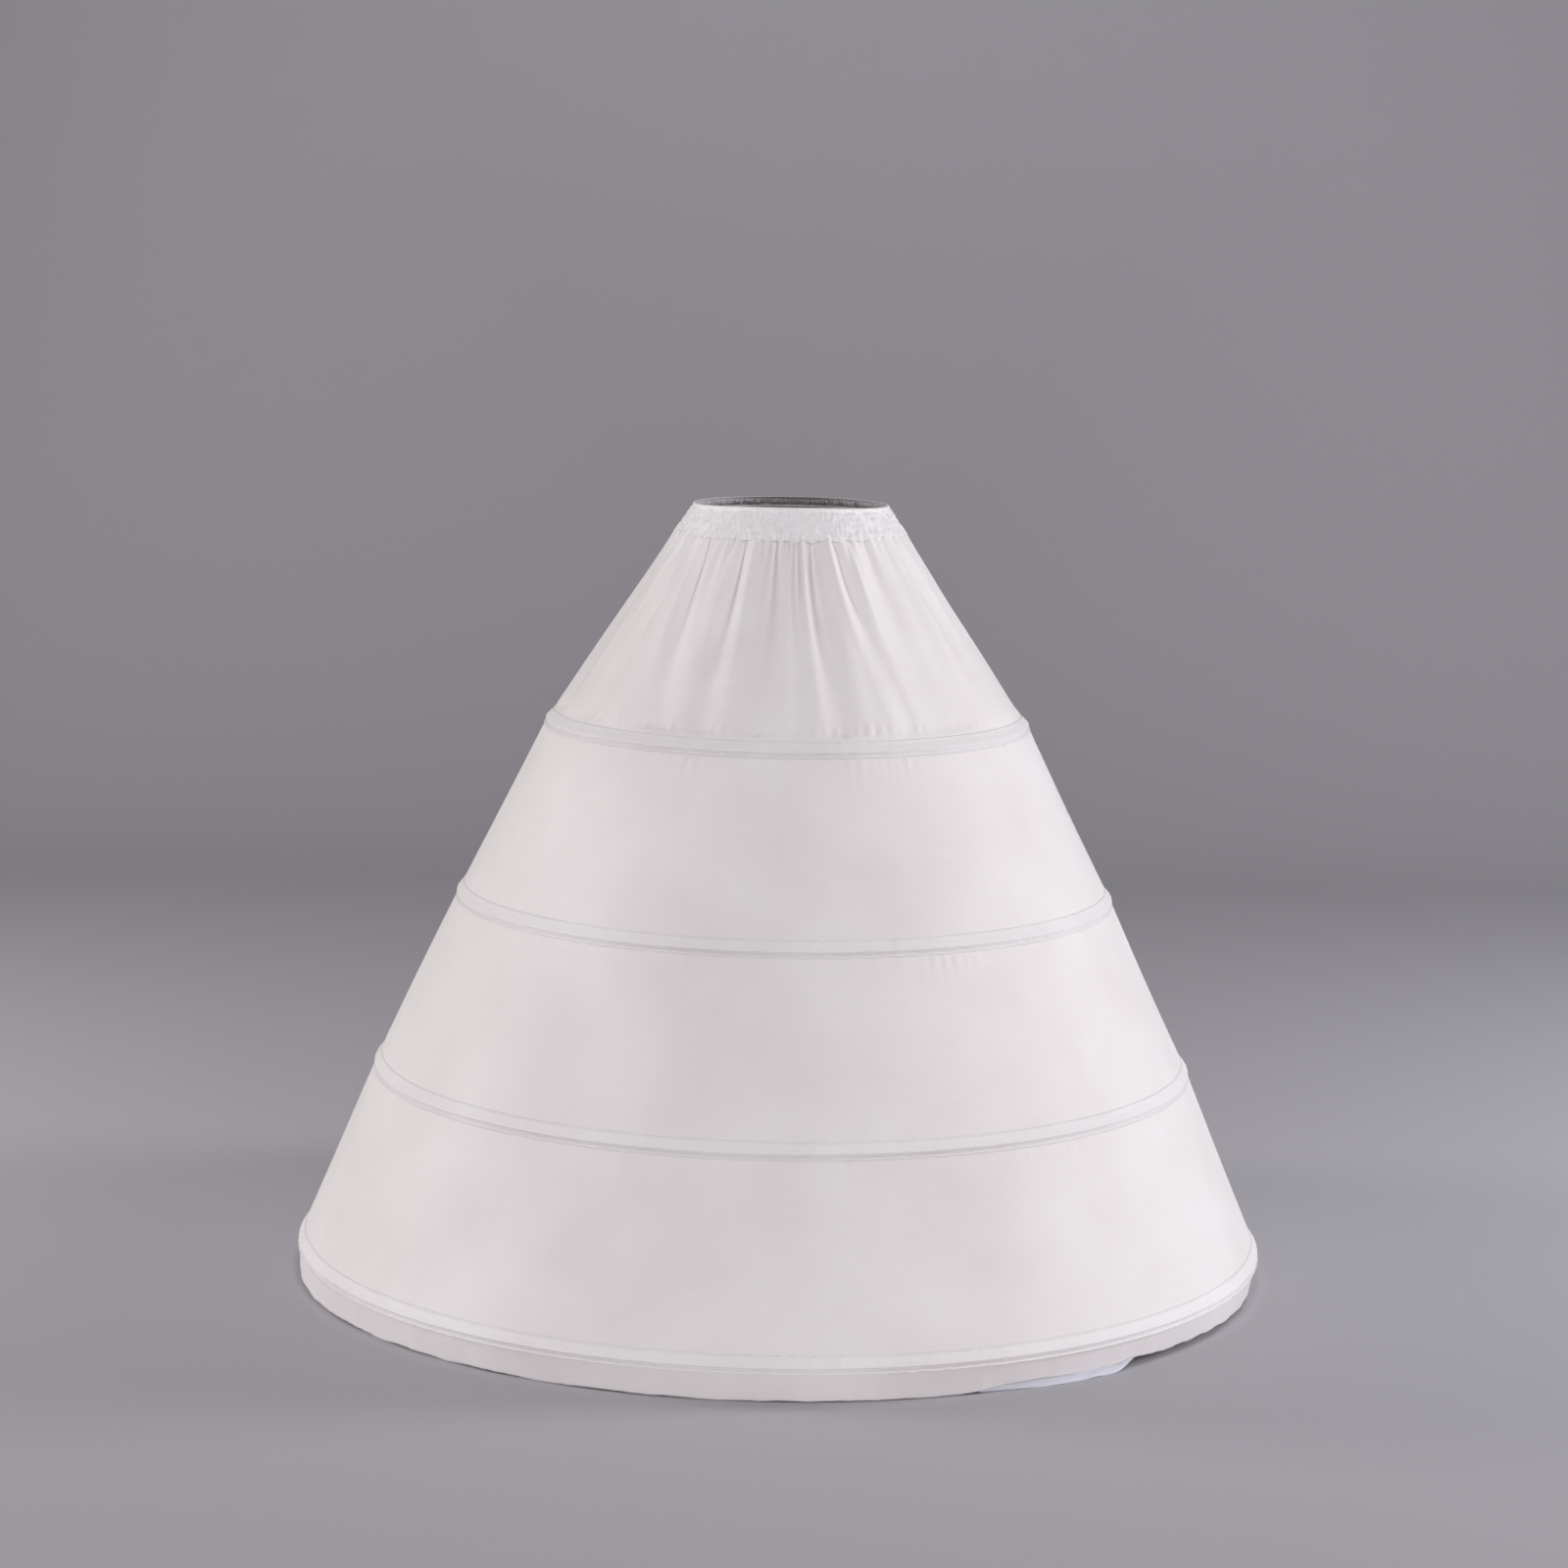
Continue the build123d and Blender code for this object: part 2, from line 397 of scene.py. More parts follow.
def finish_sheet(piece, thickness, width, length, pull=0.0):
    """Map, direction and thickness of a shaped sheet, and its size for the log."""
    lay_cloth_map(piece, width, length, pull)
    face_outwards(piece)
    give_wall(piece, thickness)
    piece.data.calc_loop_triangles()
    height = corners_of(piece)[:, 2]
    triangles = len(piece.data.loop_triangles)
    print(piece.name, triangles, "triangles, z", height.min().round(4), height.max().round(4))


# %% [markdown]
# ## Taffeta
#
# Taffeta is a plain weave of smooth threads: nearly matt, with a faint sheen, and thin enough for
# light to come through. The weave is two crossed sets of fine waves on the cloth's own map, with slow
# noise for the uneven threads. A wave texture at scale 1 repeats every tenth of pi, so that length
# over the weave's pitch is its scale. Some Translucent shader lets the side lights glow in the cloth.
# One function makes all the white cloths, because they differ only in tint, weave and thickness.

# %% Cloth shader
WEAVE_PITCH = 0.45 * MM
WAVE_LENGTH = math.pi / 10
THREAD_STRETCH = (40, 900, 1)
CLOUD_SCALE = 7.0
WEAVE_RELIEF = 0.08 * MM


def link(tree, source, output, target, entry):
    tree.links.new(source.outputs[output], target.inputs[entry])


def cloth_finish(name, colour, shade, see_through, weave_depth, roughness, pitch=WEAVE_PITCH):
    """White woven cloth. Shade is the darker tint in its uneven threads."""
    material = bpy.data.materials.new(name)
    material.use_nodes = True
    tree = material.node_tree
    nodes = tree.nodes
    nodes.clear()
    place = nodes.new("ShaderNodeUVMap")
    place.uv_map = "cloth"
    threads = []
    for direction in ("X", "Y"):
        wave = nodes.new("ShaderNodeTexWave")
        wave.bands_direction = direction
        wave.inputs["Scale"].default_value = WAVE_LENGTH / pitch
        wave.inputs["Distortion"].default_value = 0.6
        wave.inputs["Detail"].default_value = 1.0
        link(tree, place, "UV", wave, "Vector")
        threads.append(wave)
    weave = nodes.new("ShaderNodeMath")
    weave.operation = "ADD"
    link(tree, threads[0], "Fac", weave, 0)
    link(tree, threads[1], "Fac", weave, 1)
    stretch = nodes.new("ShaderNodeMapping")
    stretch.inputs["Scale"].default_value = THREAD_STRETCH
    link(tree, place, "UV", stretch, "Vector")
    slub = nodes.new("ShaderNodeTexNoise")
    slub.inputs["Scale"].default_value = 1.0
    slub.inputs["Detail"].default_value = 3.0
    link(tree, stretch, "Vector", slub, "Vector")
    cloud_place = nodes.new("ShaderNodeTexCoord")
    cloud = nodes.new("ShaderNodeTexNoise")
    cloud.inputs["Scale"].default_value = CLOUD_SCALE
    cloud.inputs["Detail"].default_value = 2.0
    link(tree, cloud_place, "Object", cloud, "Vector")
    uneven = nodes.new("ShaderNodeMath")
    uneven.operation = "MULTIPLY_ADD"
    uneven.inputs[1].default_value = 0.45
    link(tree, slub, "Fac", uneven, 0)
    link(tree, cloud, "Fac", uneven, 2)
    tint = nodes.new("ShaderNodeMapRange")
    tint.inputs["From Min"].default_value = 0.45
    tint.inputs["From Max"].default_value = 1.0
    link(tree, uneven, "Value", tint, "Value")
    mix = nodes.new("ShaderNodeMix")
    mix.data_type = "RGBA"
    mix.inputs["A"].default_value = (*shade, 1)
    mix.inputs["B"].default_value = (*colour, 1)
    link(tree, tint, "Result", mix, "Factor")
    relief = nodes.new("ShaderNodeBump")
    relief.inputs["Strength"].default_value = weave_depth
    relief.inputs["Distance"].default_value = WEAVE_RELIEF
    link(tree, weave, "Value", relief, "Height")
    gloss = nodes.new("ShaderNodeMapRange")
    gloss.inputs["To Min"].default_value = roughness - 0.06
    gloss.inputs["To Max"].default_value = roughness + 0.08
    link(tree, slub, "Fac", gloss, "Value")
    surface = nodes.new("ShaderNodeBsdfPrincipled")
    surface.inputs["Sheen Weight"].default_value = 0.12
    surface.inputs["Sheen Roughness"].default_value = 0.4
    surface.inputs["Specular IOR Level"].default_value = 0.35
    surface.inputs["IOR"].default_value = 1.5
    link(tree, mix, "Result", surface, "Base Color")
    link(tree, gloss, "Result", surface, "Roughness")
    link(tree, relief, "Normal", surface, "Normal")
    glow = nodes.new("ShaderNodeBsdfTranslucent")
    link(tree, mix, "Result", glow, "Color")
    blend = nodes.new("ShaderNodeMixShader")
    blend.inputs["Fac"].default_value = see_through
    link(tree, surface, "BSDF", blend, 1)
    link(tree, glow, "BSDF", blend, 2)
    output = nodes.new("ShaderNodeOutputMaterial")
    link(tree, blend, "Shader", output, "Surface")
    return material


taffeta = cloth_finish("white_taffeta", (0.87, 0.832, 0.842), (0.79, 0.742, 0.75), 0.18, 0.5, 0.62)
band_taffeta = cloth_finish("ruched_taffeta", (0.87, 0.85, 0.867), (0.79, 0.765, 0.785), 0.12, 0.5, 0.6)
tape_cloth = cloth_finish("casing_tape_cloth", (0.87, 0.836, 0.848), (0.79, 0.748, 0.76), 0.16, 0.6, 0.6)
# Painted shade: the facing's darker blue-grey colour stands for the shade under the hem band.
facing_painted_shade = cloth_finish("thin_lining_painted_shade", (0.75, 0.76, 0.82), (0.62, 0.63, 0.71), 0.25, 0.3, 0.55)
print("cloth finishes:", [m.name for m in (taffeta, band_taffeta, tape_cloth, facing_painted_shade)])

# %% [markdown]
# ## Gathers at the waist
#
# Where the wide cloth is drawn into the narrow band it stands in small tight pleats, and a hand's
# breadth lower only a few long folds are left. Simulating this is possible, but the folds would fall
# where they like. Here each long fold that the front shows is given its own line, depth and reach,
# and the sides and back get folds of the same kind from seeded draws.

# %% Long folds
# One fold a row: angle at the waist and at the hoop in degrees, depth in mm (less than nothing for a
# ridge), half width at the waist and at the hoop in mm, and how far down the tier it reaches.
FRONT_FOLDS = [
    (-146, -137, -2.4, 2.5, 9, 1.0),
    (-141, -149, 3.2, 3.5, 14, 0.55),
    (-134, -123, 7.5, 4.0, 15, 0.82),
    (-124, -121, 1.6, 3.0, 14, 0.6),
    (-113.5, -112, 6.0, 3.0, 15, 0.8),
    (-107, -106.5, -2.2, 2.5, 10, 0.75),
    (-98, -97, 5.6, 2.8, 17, 0.85),
    (-87.5, -88, 3.6, 2.2, 7, 0.4),
    (-84.5, -81, -2.4, 2.0, 8, 0.98),
    (-79.5, -77, 7.6, 3.0, 17, 0.92),
    (-71.5, -63, -2.0, 2.0, 7, 0.65),
    (-67, -58, 4.0, 2.2, 10, 0.5),
    (-61, -55, -1.8, 2.0, 7, 0.55),
    (-52, -46, 4.6, 5.0, 34, 0.9),
    (-37, -29, -3.2, 6.0, 20, 0.95),
]
SIDE_FOLD_STEP = 12.5
STEP_SHARE = (0.55, 1.45)
VALLEY_DEPTH = (2.5, 7.0)
RIDGE_HEIGHT = (1.2, 2.6)
DRAWN_REACH = (0.45, 0.95)
DRAWN_LEAN = (-5, 5)
WAIST_HALF_WIDTH = (2.4, 4.5)
FOOT_HALF_WIDTH = (9, 20)
UNSEEN_START = -22
UNSEEN_END = 205


def drawn_folds(start, end, seed):
    """Folds of the same kind for a stretch of the waist that isn't seen."""
    rng = np.random.default_rng(seed)
    folds = []
    angle = start
    while angle < end:
        depth = rng.uniform(*VALLEY_DEPTH) if len(folds) % 3 else -rng.uniform(*RIDGE_HEIGHT)
        reach = rng.uniform(*DRAWN_REACH)
        foot = angle + rng.uniform(*DRAWN_LEAN)
        narrow = rng.uniform(*WAIST_HALF_WIDTH)
        wide = rng.uniform(*FOOT_HALF_WIDTH)
        folds.append((angle, foot, depth, narrow, wide, reach))
        angle += rng.uniform(*STEP_SHARE) * SIDE_FOLD_STEP
    return folds


FOLDS = FRONT_FOLDS + drawn_folds(UNSEEN_START, UNSEEN_END, seed=7)
print("long folds:", len(FOLDS))

# %% [markdown]
# ## The gathered tier
#
# Each fold is a smooth hill or valley that follows its own line down the cone and widens as it goes.
# All of them are added up with the small pleats at the waist, and the cloth is flattened again just
# above the casing, where the tape holds it.

# %% Gathered tier
GATHERED_ROWS = 72
GATHERED_COLUMNS = 320
GATHERED_PULL = 0.45
WAIST_PLEATS = 62
PLEAT_DEPTH = 1.6 * MM
PLEAT_FADE = 19 * MM
FOLD_SCALE = 1.35
FOLD_LOSS = 0.68
FOLD_FADE_START = 0.18
FOLD_AT_WAIST = 0.55
NARROW_SCALE = 1.1
WIDE_SCALE = 1.35
DEEPEST_AT_WAIST = 3.2 * MM
DEEPER_PER_METRE = 0.25
CREASE_DEPTH = 0.9 * MM
CREASE_WIDTH = 2.2 * MM
PUCKER_COUNT = 110
PUCKER_HEIGHT = 0.45 * MM
PUCKER_BAND = 9 * MM
WAVE_COUNT = 26
WAVE_HEIGHT = 0.55 * MM
FLAT_FROM = 12 * MM
FLAT_AT = 1.5 * MM


def waist_pleats(angle):
    """Small tight pleats right at the waist seam, sharper on their ridges than in their valleys."""
    wave = np.clip(ripple(angle, WAIST_PLEATS, seed=11, spread=0.3), -1.9, 1.9)
    return wave - 0.22 * np.abs(wave) ** 1.5


def fold_depths(angle, share, radius):
    """How far in the long folds draw the cloth, at a share of the way down the tier."""
    depth = np.zeros_like(angle)
    for waist, foot, deep, narrow, wide, reach in FOLDS:
        centre = np.radians(waist + (foot - waist) * soft_step(share, 0, 1))
        width = (NARROW_SCALE * narrow + (WIDE_SCALE * wide - narrow) * share) * MM
        away = turned_from(angle, centre) * radius
        rise = FOLD_AT_WAIST + (1 - FOLD_AT_WAIST) * soft_step(share, 0, 0.16)
        fall = 1 - FOLD_LOSS * soft_step(share, FOLD_FADE_START, reach)
        depth += FOLD_SCALE * deep * MM * rise * fall * bump(away, 0, width)
    return depth


def seam_crease(angle, radius):
    """A small valley where a side seam draws the cloth in."""
    return CREASE_DEPTH * np.exp(-((np.sin(angle) * radius / CREASE_WIDTH) ** 2))


def gathered_tier(front):
    upper, lower = WAIST_SEAM, HOOP_SEAMS[0]
    name = "gathered_tier_cloth_front" if front else "gathered_tier_cloth_back"
    piece, around, fall = cloth_grid(name, GATHERED_COLUMNS + 2 * TURNED_COLUMNS, GATHERED_ROWS)
    angle, turned = half_round(around, GATHERED_COLUMNS, front)
    slant = slant_of(upper, lower)
    share = crowded(fall, GATHERED_PULL)
    down = share * slant
    radius = upper[0] + share * (lower[0] - upper[0])
    out = -fold_depths(angle, share, radius)
    out += PLEAT_DEPTH * waist_pleats(angle) * np.exp(-down / PLEAT_FADE)
    out = np.maximum(out, -(DEEPEST_AT_WAIST + DEEPER_PER_METRE * down))
    at_casing = slant - CASING_WIDTH
    near_casing = bump(down, at_casing - PUCKER_BAND, PUCKER_BAND)
    out += PUCKER_HEIGHT * ripple(angle, PUCKER_COUNT, seed=21) * near_casing
    out += WAVE_HEIGHT * ripple(angle, WAVE_COUNT, seed=23, spread=0.6) * np.sin(math.pi * share)
    out *= 1 - soft_step(down, at_casing - FLAT_FROM, at_casing - FLAT_AT)
    out -= seam_crease(angle, radius)
    set_half(piece, angle, down, out - turned, upper, lower, front)
    finish_sheet(piece, CLOTH_WALL, math.pi * (upper[0] + lower[0]) / 2, slant, GATHERED_PULL)
    return piece


def dress(piece, finish, slot, *nodes):
    """Gives a finished piece its shader and its body, and hides the solids that it stands for."""
    piece.data.materials.clear()
    piece.data.materials.append(finish)
    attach(piece, "root")
    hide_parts(*nodes)
    return piece


for side in ("front", "back"):
    dress(gathered_tier(side == "front"), taffeta, "skirt_cloth", f"gathered_tier_{side}")

# %% [markdown]
# ## Smooth tiers
#
# The hoops pull these panels taut, so they are nearly true cones. What makes them cloth is small:
# broad, shallow waves from the tension between two hoops, and short puckers that run out from every
# row of stitches. Each tier is two panels, front and back, sewn together at the sides.

# %% Smooth tiers
PANEL_ROWS = 36
PANEL_STEP = 4.6 * MM
PANEL_PULL = 0.72
PUCKER_LENGTH = 13 * MM
TOP_PUCKER_STEP = 15 * MM
TOP_PUCKER_HEIGHT = 0.75 * MM
FOOT_PUCKER_STEP = 14 * MM
FOOT_PUCKER_HEIGHT = 0.45 * MM
TENSION_WAVE = 0.8 * MM
TENSION_HOLLOW = 0.9 * MM
UNDER_LIP = (2.6 * MM, 8 * MM)
PANEL_FLAT_FROM = 10 * MM


def panel(tier, upper, lower, front, seed):
    name = f"{tier}_cloth_" + ("front" if front else "back")
    columns = round(math.pi * lower[0] / PANEL_STEP)
    piece, around, fall = cloth_grid(name, columns + 2 * TURNED_COLUMNS, PANEL_ROWS)
    angle, turned = half_round(around, columns, front)
    slant = slant_of(upper, lower)
    share = crowded(fall, PANEL_PULL)
    down = share * slant
    radius = upper[0] + share * (lower[0] - upper[0])
    length = math.pi * (upper[0] + lower[0])
    busy_top = 0.5 + 0.5 * np.clip(ripple(angle, 9, seed + 2), -1, 1)
    busy_foot = 0.5 + 0.5 * np.clip(ripple(angle, 9, seed + 4), -1, 1)
    at_casing = slant - CASING_WIDTH
    top_puckers = TOP_PUCKER_HEIGHT * busy_top * ripple(angle, length / TOP_PUCKER_STEP, seed + 1)
    out = top_puckers * np.exp(-down / PUCKER_LENGTH) * soft_step(down, *UNDER_LIP)
    foot_puckers = FOOT_PUCKER_HEIGHT * busy_foot * ripple(angle, length / FOOT_PUCKER_STEP, seed + 3)
    out += foot_puckers * bump(down, at_casing - 8 * MM, 7 * MM)
    out += TENSION_WAVE * ripple(angle, 13, seed + 5, spread=0.6) * np.sin(math.pi * share) ** 1.5
    out -= TENSION_HOLLOW * np.sin(math.pi * share) ** 2
    out *= 1 - soft_step(down, at_casing - PANEL_FLAT_FROM, at_casing - FLAT_AT)
    out -= seam_crease(angle, radius)
    set_half(piece, angle, down, out - turned, upper, lower, front)
    finish_sheet(piece, CLOTH_WALL, length / 2, slant, PANEL_PULL)
    return piece


for number, (tier, upper, lower) in enumerate(zip(TIERS[1:], HOOP_SEAMS, HOOP_SEAMS[1:])):
    for side in ("front", "back"):
        made = panel(tier, upper, lower, side == "front", seed=100 + 20 * number + 10 * (side == "back"))
        dress(made, taffeta, "skirt_cloth", f"{tier}_{side}")

# %% [markdown]
# ## Hoop casings
#
# Each hoop lies in a tape that is stitched to the skirt above and below it. The hoop fills the tape
# into a soft ridge, the lower row of stitches draws a groove under it, and a narrow lip of tape is
# left below. That groove is the dark line that the eye reads as a hoop. The tape's section is one
# closed outline of points: the rows of a grid follow it, and the columns go round the skirt.

# %% Tape section
# Outline of the tape as (up the cloth from the seam, out from the cloth) in mm, from the top stitches
# over the hoop to the lip, and back along the inside.
TAPE_OUTER = [
    (17.3, 0.1), (16.7, 0.26), (16.0, 0.36), (15.3, 0.26), (13.8, 0.42), (11.5, 0.95), (9.0, 1.6), (6.6, 2.1),
    (5.0, 2.5), (3.9, 2.7), (3.2, 2.5), (2.8, 1.7), (2.6, 0.5), (2.2, 0.12), (0.6, 0.1), (-0.9, 0.12),
    (-1.2, 0.4), (-1.6, 0.66), (-2.3, 0.66), (-2.9, 0.4),
]
TAPE_INNER = [
    (-2.6, 0.22), (-2.1, 0.34), (-1.6, 0.3), (-1.1, 0.12), (-0.4, 0.05), (2.3, 0.05), (2.7, 0.8), (3.0, 1.4),
    (5.0, 1.6), (6.6, 1.5), (9.0, 1.3), (11.5, 0.6), (13.8, 0.25), (15.3, 0.08), (16.4, 0.05),
]
THIN_TAPE = 0.8 * MM
TAPE_STEP = 4.0 * MM
LIP_WOBBLE = 0.36 * MM
TAPE_PUCKER = 0.36 * MM
TAPE_PUCKER_STEP = 13 * MM
LIP_WAVE_STEP = 21 * MM
MOST_SETTLED = 0.6
TAPE_CONES = list(enumerate(zip([WAIST_SEAM, *HOOP_SEAMS], HOOP_SEAMS), start=1))


def tape_shift(angle, up, number, radius):
    """How far the tape's puckers move it (down the cloth, out from it)."""
    around = 2 * math.pi * radius
    busy = 0.55 + 0.45 * np.clip(ripple(angle, 7, seed=300 + number), -1, 1)
    fine = ripple(angle, around / TAPE_PUCKER_STEP, seed=310 + number) * busy
    lip = ripple(angle, around / LIP_WAVE_STEP, seed=320 + number) * busy
    at_lip = 1 - soft_step(up, -0.5 * MM, 3.5 * MM)
    at_top = soft_step(up, 11 * MM, 16 * MM)
    out = TAPE_PUCKER * (fine * (0.9 * at_top + 0.7 * at_lip) + 0.4 * (fine + lip))
    down = LIP_WOBBLE * (lip * at_lip + (0.7 * fine + 0.6 * lip) * at_top)
    return down, out


def settled(out, shift):
    """Distance out after a pucker: thin places move less, and none goes through the cloth below."""
    return out + np.maximum(shift * np.clip(out / THIN_TAPE, 0, 1), -MOST_SETTLED * out)


def hoop_casing(number, upper, seam):
    outline = np.array(TAPE_OUTER + TAPE_INNER + TAPE_OUTER[:1]) * MM
    columns = round(2 * math.pi * seam[0] / TAPE_STEP)
    piece, around, fall = cloth_grid(f"hoop_casing_tape_{number}", columns, len(outline) - 1)
    angle = all_round(around)
    up, out = outline[np.rint(fall * (len(outline) - 1)).astype(int)].T
    shift_down, shift_out = tape_shift(angle, up, number, seam[0])
    down = slant_of(upper, seam) - up + shift_down
    move_corners(piece, from_cloth(angle, down, settled(out, shift_out), upper, seam))
    lay_cloth_map(piece, 2 * math.pi * seam[0], 2 * CASING_WIDTH)
    face_outwards(piece)
    bpy.ops.object.shade_smooth()
    print(piece.name, 2 * len(piece.data.polygons), "triangles")
    return piece


for number, (upper, seam) in TAPE_CONES:
    made = hoop_casing(number, upper, seam)
    dress(made, tape_cloth, "casing_tape", f"hoop_casing_{number}")

# %% [markdown]
# ## Stitches
#
# Every tape is sewn down by two rows of machine stitches, one along its top edge and one in the groove
# under the hoop. One stitch is a tiny four-sided bar. An Array modifier with an offset object that is
# turned by one pitch copies it round the skirt, and then the row follows the tape's own puckers.

# %% Rows of stitches
STITCH_PITCH = 3.6 * MM
STITCH_LENGTH = 2.5 * MM
STITCH_RADIUS = 0.26 * MM
TAPE_STITCHES = [(15.3, 0.34), (1.0, 0.3)]


def stitch_ring(name, radius, height, pitch):
    """Ring of level stitches round the skirt's axis."""
    count = round(2 * math.pi * radius / pitch)
    bpy.ops.object.select_all(action="DESELECT")
    bpy.ops.object.empty_add(rotation=(0, 0, 2 * math.pi / count))
    turn = bpy.context.object
    bpy.ops.mesh.primitive_cylinder_add(
        vertices=4, radius=STITCH_RADIUS, depth=STITCH_LENGTH,
        location=(radius, 0, height), rotation=(math.pi / 2, 0, 0),
    )
    piece = bpy.context.object
    piece.name = name
    bpy.ops.object.transform_apply(location=True, rotation=True, scale=True)
    row = piece.modifiers.new("row", "ARRAY")
    row.use_relative_offset = False
    row.use_object_offset = True
    row.offset_object = turn
    row.count = count
    bpy.ops.object.modifier_apply(modifier="row")
    bpy.data.objects.remove(turn)
    return piece


def tape_stitches(number, row, upper, seam):
    up, rest = (value * MM for value in TAPE_STITCHES[row])
    down = slant_of(upper, seam) - up
    place = from_cloth(np.zeros(1), np.array([down]), np.array([rest]), upper, seam)[0]
    piece = stitch_ring(f"casing_stitches_{number}_{row + 1}", place[0], place[2], STITCH_PITCH)
    angle, down, out = to_cloth(corners_of(piece), upper, seam)
    shift_down, shift_out = tape_shift(angle, np.full_like(angle, up), number, seam[0])
    lift = settled(np.full_like(angle, rest), shift_out) - rest
    move_corners(piece, from_cloth(angle, down + shift_down, out + lift, upper, seam))
    print(piece.name, 2 * len(piece.data.polygons), "triangles")
    return piece


# Painted shade: the thread is greyer and bluer than the cloth. This is partly its own tint and partly shade
# painted for the stitched groove.
thread_and_painted_shade = cloth_finish("sewing_thread_and_painted_shade", (0.8, 0.78, 0.82), (0.6, 0.58, 0.66), 0.05, 0.2, 0.5)
stitches = {}
for number, (upper, seam) in TAPE_CONES:
    stitches[number] = [tape_stitches(number, row, upper, seam) for row in range(len(TAPE_STITCHES))]
    for piece in stitches[number]:
        piece.data.uv_layers[0].name = "cloth"
        piece.data.materials.append(thread_and_painted_shade)
        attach(piece, "root")

# %% [markdown]
# ## Waistband
#
# The band is a tunnel of cloth drawn up by elastic. Rows of stitches hold it flat in lines, and
# between the rows the spare cloth stands in crinkles. Its top edge is rolled. The crinkles are waves
# round the band that break from one row to the next, so each row gets its own seed.

# %% Waistband
BAND_COLUMNS = 900
BAND_ROWS = 32
BAND_LINES = 5
CRINKLE_STEP = 4.6 * MM
CRINKLE_DEPTH = 1.7 * MM
ROLL_HEIGHT = 4.6 * MM
FRONT_RISE = 4.5 * MM
BAND_WALL_SHOWN = 1.0 * MM
DEEPEST_CRINKLE = -2.2 * MM
HIGHEST_CRINKLE = 1.5 * MM


def band_relief(angle, share):
    """Crinkles of the ruched band, which break from one row of stitches to the next."""
    around = math.pi * (BAND_TOP[0] + WAIST_SEAM[0])
    lane = share * BAND_LINES
    relief = np.zeros_like(angle)
    for line in range(BAND_LINES + 1):
        near = np.clip(1 - np.abs(lane - line), 0, 1)
        crinkle = ripple(angle, around / CRINKLE_STEP, seed=400 + line, spread=0.5)
        relief += near * (1.1 * np.abs(crinkle) - 0.9)
    return relief


def waistband():
    upper, lower = BAND_TOP, WAIST_SEAM
    piece, around, share = cloth_grid("waistband_cloth", BAND_COLUMNS, BAND_ROWS)
    slant = slant_of(upper, lower)
    angle = all_round(around)
    down = share * slant
    body = soft_step(down, ROLL_HEIGHT * 0.8, ROLL_HEIGHT * 1.4)
    stitched = 0.5 + 0.5 * np.cos(2 * math.pi * BAND_LINES * (share - 0.1))
    out = CRINKLE_DEPTH * band_relief(angle, share) * body * (1 - 0.5 * stitched)
    roll = np.sqrt(np.clip(1 - (down / (ROLL_HEIGHT / 2) - 1) ** 2, 0, 1)) * (1 - body)
    out += (1.4 + 0.3 * ripple(angle, 170, seed=440)) * MM * roll
    at_foot = soft_step(share, 0.72, 1.0)
    pleats = waist_pleats(angle)
    folds = fold_depths(angle, np.zeros_like(angle), lower[0])
    out += at_foot * (0.9 * MM + PLEAT_DEPTH * pleats - folds)
    out = np.clip(out, DEEPEST_CRINKLE, HIGHEST_CRINKLE)
    down += at_foot * (2.4 * MM + 0.9 * MM * pleats)
    down -= (1 - share) * FRONT_RISE * np.clip(-np.sin(angle), 0, 1) ** 2
    move_corners(piece, from_cloth(angle, down, out, upper, lower))
    finish_sheet(piece, BAND_WALL_SHOWN, math.pi * (upper[0] + lower[0]), slant)
    return piece


band = dress(waistband(), band_taffeta, "band_cloth", "waistband")

# %% [markdown]
# ## Hem band
#
# The band below the last hoop is a folded strip, so its foot is a soft round edge, not a cut one. It
# leans inwards a little and is never quite even. On the left it stands out more, and at the front
# right it rides up, so that the loose end of its facing shows below it.

# %% Hem band
HEM_ROWS = 18
HEM_STEP = 4.0 * MM
HEM_LIFT = 6.5 * MM
LIFT_START = (-71, -61)
LIFT_END = (-42, -8)
HEM_WALL = 1.4 * MM
STAND_OUT = 6.0 * MM
STAND_OUT_AT = math.radians(-168)
STAND_OUT_WIDTH = math.radians(28)


def hem_lift(angle):
    """How far the foot of the hem rides up."""
    degrees = np.degrees(angle)
    rise = soft_step(degrees, *LIFT_START) * (1 - soft_step(degrees, *LIFT_END))
    return HEM_LIFT * rise * (1 + 0.08 * ripple(angle, 30, seed=501))


def hem_band():
    upper, lower = HOOP_SEAMS[-1], HEM
    columns = round(2 * math.pi * upper[0] / HEM_STEP)
    piece, around, share = cloth_grid("hem_band_cloth", columns, HEM_ROWS)
    slant = slant_of(upper, lower)
    angle = turned_from(all_round(around), 0.0)
    down = share * slant
    wrinkle = ripple(angle, 210, seed=510) * 0.2 + ripple(angle, 60, seed=511) * 0.4
    out = wrinkle * MM * (0.35 + 0.65 * share)
    stand_out = STAND_OUT * share * bump(turned_from(angle, STAND_OUT_AT), 0, STAND_OUT_WIDTH)
    out += stand_out
    uneven = 0.35 * MM * (ripple(angle, 24, seed=512) + 2.2)
    down -= share * np.maximum(uneven, 0.1 * MM) + 0.3 * stand_out
    down -= share**2 * hem_lift(angle)
    move_corners(piece, from_cloth(angle, down, out, upper, lower))
    finish_sheet(piece, HEM_WALL, 2 * math.pi * upper[0], slant)
    return piece


hem = dress(hem_band(), taffeta, "skirt_cloth", "hem_band")

# %% [markdown]
# ## Loose end of the facing
#
# A thin strip of white lining has come away inside the hem and shows below it. Its darker, bluer
# colour is painted shade from the hem above it. It is a small grid, laid along the inside of the band
# and then flared out to the floor, with its end cut on a slant.

